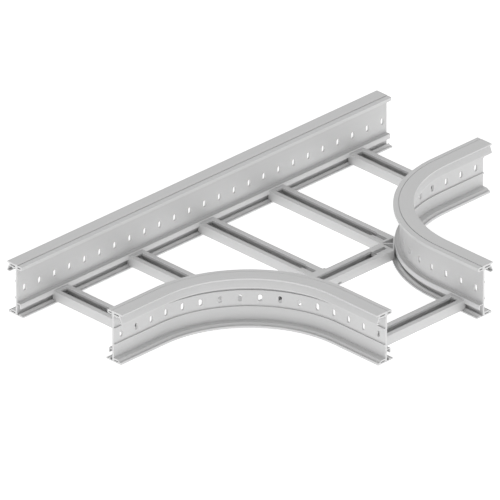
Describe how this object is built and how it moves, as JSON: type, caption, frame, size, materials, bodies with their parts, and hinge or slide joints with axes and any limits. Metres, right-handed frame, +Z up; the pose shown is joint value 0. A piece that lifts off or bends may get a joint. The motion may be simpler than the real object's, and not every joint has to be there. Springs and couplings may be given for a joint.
{
  "type": "cable ladder tee",
  "caption": "Aluminium cable ladder tee: a straight side rail, two bent side rails with slotted webs and hooked flanges, open-mouthed rungs and corner brackets.",
  "frame": {"origin": "middle of the footprint, on the floor that the rails' feet rest on", "axes": "+X along the run, -Y towards the branch, +Z up"},
  "size_m": [1.24, 0.8152, 0.135],
  "materials": {
    "rail_aluminium": "matt mill finish",
    "rung_aluminium": "matt mill finish",
    "joint_aluminium": "matt mill finish"
  },
  "bodies": {
    "root": {"straight_rail": "rail_aluminium", "centre_rung": "rung_aluminium", "centre_rung_cap": "joint_aluminium", "centre_bracket": "joint_aluminium", "branch_inner_rung": "rung_aluminium", "branch_outer_rung": "rung_aluminium", "curved_rail_left": "rail_aluminium", "curved_rail_right": "rail_aluminium", "outer_rung_left": "rung_aluminium", "outer_rung_right": "rung_aluminium", "inner_rung_left": "rung_aluminium", "inner_rung_right": "rung_aluminium", "corner_bracket_left": "joint_aluminium", "corner_bracket_right": "joint_aluminium", "outer_rung_back_cap_left": "joint_aluminium", "outer_rung_back_cap_right": "joint_aluminium", "outer_rung_front_cap_left": "joint_aluminium", "outer_rung_front_cap_right": "joint_aluminium", "inner_rung_cap_left": "joint_aluminium", "inner_rung_cap_right": "joint_aluminium", "branch_rung_cap_left": "joint_aluminium", "branch_rung_cap_right": "joint_aluminium"}
  },
  "joints": []
}
